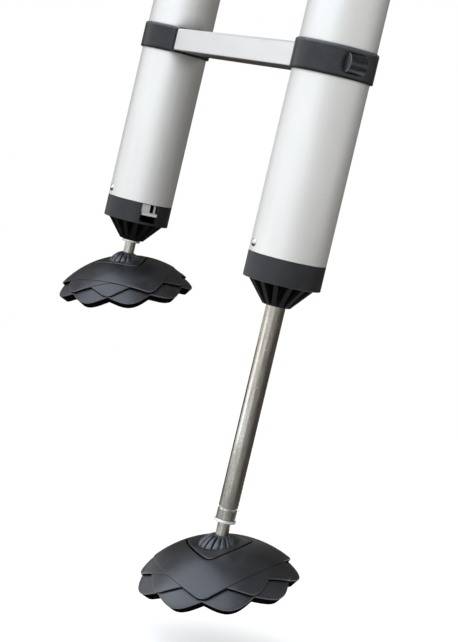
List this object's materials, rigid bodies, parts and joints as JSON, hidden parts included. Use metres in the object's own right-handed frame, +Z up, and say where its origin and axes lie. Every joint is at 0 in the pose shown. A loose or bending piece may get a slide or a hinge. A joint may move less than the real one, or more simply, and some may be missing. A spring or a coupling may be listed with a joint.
{
  "type": "ladder extension leg",
  "caption": "Foot end of a round-stile ladder: box rung between black collars, sliding legs with lever locks, and ball-jointed rubber feet that tilt and swivel.",
  "frame": {"origin": "middle of the lowest rung's tread, on its top face", "axes": "+Z up along the stiles, +X from the left stile to the right stile, -Y towards the climber"},
  "size_m": [0.549, 0.1426, 0.6267],
  "materials": {
    "stile_aluminium": "satin anodised",
    "black_plastic": "fine moulded grain",
    "grey_nylon": "turned nylon",
    "black_nylon": "satin moulding",
    "plated_steel": "zinc plated",
    "spring_steel": "oiled wire",
    "chromed_steel": "polished, lightly scratched",
    "rivet_aluminium": "bright",
    "black_rubber": "matte",
    "sole_rubber": "matte"
  },
  "bodies": {
    "ladder_base": {"rung": "stile_aluminium", "rung_rivets": "black_plastic", "left_stile": "stile_aluminium", "left_collar": "black_plastic", "left_end_cap": "black_plastic", "left_cap_rivets": "rivet_aluminium", "left_leg_nozzle": "black_plastic", "left_lower_bush": "grey_nylon", "left_top_guide": "grey_nylon", "left_lock_pin": "plated_steel", "left_lock_spring": "spring_steel", "right_stile": "stile_aluminium", "right_collar": "black_plastic", "right_end_cap": "black_plastic", "right_cap_rivets": "rivet_aluminium", "right_leg_nozzle": "black_plastic", "right_lower_bush": "grey_nylon", "right_top_guide": "grey_nylon", "right_lock_pin": "plated_steel", "right_lock_spring": "spring_steel"},
    "left_lever": {"left_lock_lever": "plated_steel"},
    "left_leg": {"left_leg_tube": "chromed_steel", "left_leg_stop": "grey_nylon", "left_stop_pin": "plated_steel", "left_leg_bush": "plated_steel"},
    "left_swivel": {"left_stem": "plated_steel", "left_stem_clip": "spring_steel", "left_ball_head": "black_nylon", "left_ball_screw": "plated_steel"},
    "left_socket": {"left_ball_liner": "grey_nylon"},
    "left_foot": {"left_foot_cover": "black_rubber", "left_foot_leaf_upper": "black_rubber", "left_foot_leaf_middle": "black_rubber", "left_foot_leaf_lower": "black_rubber", "left_foot_sole": "sole_rubber", "left_foot_core": "black_nylon", "left_foot_screws": "plated_steel", "left_foot_pad": "sole_rubber"},
    "right_lever": {"right_lock_lever": "plated_steel"},
    "right_leg": {"right_leg_tube": "chromed_steel", "right_leg_stop": "grey_nylon", "right_stop_pin": "plated_steel", "right_leg_bush": "plated_steel"},
    "right_swivel": {"right_stem": "plated_steel", "right_stem_clip": "spring_steel", "right_ball_head": "black_nylon", "right_ball_screw": "plated_steel"},
    "right_socket": {"right_ball_liner": "grey_nylon"},
    "right_foot": {"right_foot_cover": "black_rubber", "right_foot_leaf_upper": "black_rubber", "right_foot_leaf_middle": "black_rubber", "right_foot_leaf_lower": "black_rubber", "right_foot_sole": "sole_rubber", "right_foot_core": "black_nylon", "right_foot_screws": "plated_steel", "right_foot_pad": "sole_rubber"}
  },
  "joints": [
    {"name": "left_leg_slide", "type": "slide", "parent": "ladder_base", "child": "left_leg", "axis": [0, 0, -1], "range_m": [0, 0.2]},
    {"name": "left_lever_press", "type": "hinge", "parent": "ladder_base", "child": "left_lever", "pos_m": [-0.2225, 0, -0.21], "axis": [0, 1, 0], "range_deg": [0, 5], "stiffness_Nm_per_rad": 0.6, "springref_deg": -3.44, "deforming": ["left_lock_spring"]},
    {"name": "left_stem_swivel", "type": "hinge", "parent": "left_leg", "child": "left_swivel", "pos_m": [-0.2, 0, -0.272], "axis": [0, 0, 1], "continuous": true},
    {"name": "left_foot_pitch", "type": "hinge", "parent": "left_swivel", "child": "left_socket", "pos_m": [-0.2, 0, -0.272], "axis": [1, 0, 0], "range_deg": [-36.5, 3.5]},
    {"name": "left_foot_roll", "type": "hinge", "parent": "left_socket", "child": "left_foot", "pos_m": [-0.2, 0, -0.272], "axis": [0, 0.9588, 0.284], "range_deg": [-15, 15]},
    {"name": "right_leg_slide", "type": "slide", "parent": "ladder_base", "child": "right_leg", "axis": [0, 0, 1], "range_m": [0, 0.2]},
    {"name": "right_lever_press", "type": "hinge", "parent": "ladder_base", "child": "right_lever", "pos_m": [0.2225, 0, -0.21], "axis": [0, -1, 0], "range_deg": [0, 5], "stiffness_Nm_per_rad": 0.6, "springref_deg": -3.44, "deforming": ["right_lock_spring"]},
    {"name": "right_stem_swivel", "type": "hinge", "parent": "right_leg", "child": "right_swivel", "pos_m": [0.2, 0, -0.472], "axis": [0, 0, 1], "continuous": true},
    {"name": "right_foot_pitch", "type": "hinge", "parent": "right_swivel", "child": "right_socket", "pos_m": [0.2, 0, -0.472], "axis": [1, 0, 0], "range_deg": [-36.5, 3.5]},
    {"name": "right_foot_roll", "type": "hinge", "parent": "right_socket", "child": "right_foot", "pos_m": [0.2, 0, -0.472], "axis": [0, 0.9588, 0.284], "range_deg": [-15, 15]}
  ]
}
